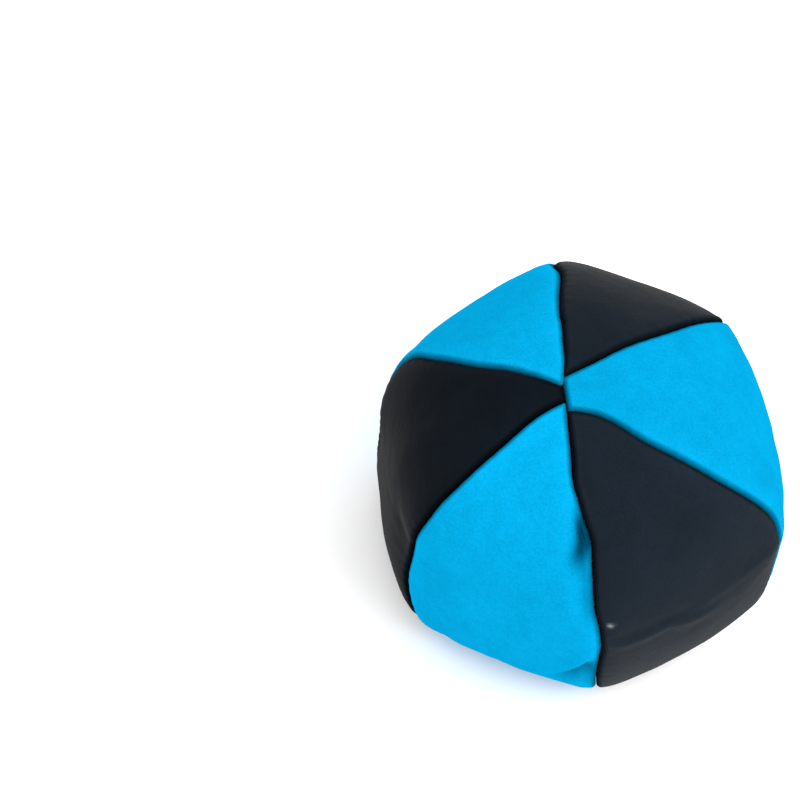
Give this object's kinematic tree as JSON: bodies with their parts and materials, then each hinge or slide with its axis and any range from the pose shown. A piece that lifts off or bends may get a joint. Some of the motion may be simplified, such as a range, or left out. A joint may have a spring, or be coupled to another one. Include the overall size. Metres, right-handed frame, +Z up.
{
  "type": "juggling ball",
  "caption": "Soft juggling ball sewn from cloth panels in two alternating colours and filled with loose granulate, resting slumped on a flattened base.",
  "frame": {"origin": "on the floor, under the middle of the ball's bounding box", "axes": "+Z up through the crown; the long seam that joins the two halves lies in the YZ plane, with its hand-closed stretch on the -Y side; +X towards the half whose middle panel is cyan"},
  "size_m": [0.0572, 0.062, 0.0484],
  "materials": {
    "cyan_cloth": "matte short-pile velour, bright cyan",
    "black_cloth": "matte short-pile velour, black with a cool cast",
    "seam_thread": "black polyester sewing thread",
    "granulate": "small off-white plastic pellets"
  },
  "bodies": {
    "root": {"panel_right_cyan": "cyan_cloth", "panel_back_right_black": "black_cloth", "panel_back_left_cyan": "cyan_cloth", "panel_left_black": "black_cloth", "panel_front_left_cyan": "cyan_cloth", "panel_front_right_black": "black_cloth", "needle_thread_front_right": "seam_thread", "bobbin_thread_front_right": "seam_thread", "needle_thread_back_right": "seam_thread", "bobbin_thread_back_right": "seam_thread", "needle_thread_back_left": "seam_thread", "bobbin_thread_back_left": "seam_thread", "needle_thread_front_left": "seam_thread", "bobbin_thread_front_left": "seam_thread", "needle_thread_long_seam": "seam_thread", "bobbin_thread_long_seam": "seam_thread", "closing_thread": "seam_thread", "closing_knot_upper": "seam_thread", "closing_knot_lower": "seam_thread", "granulate_filling": "granulate"}
  },
  "joints": []
}
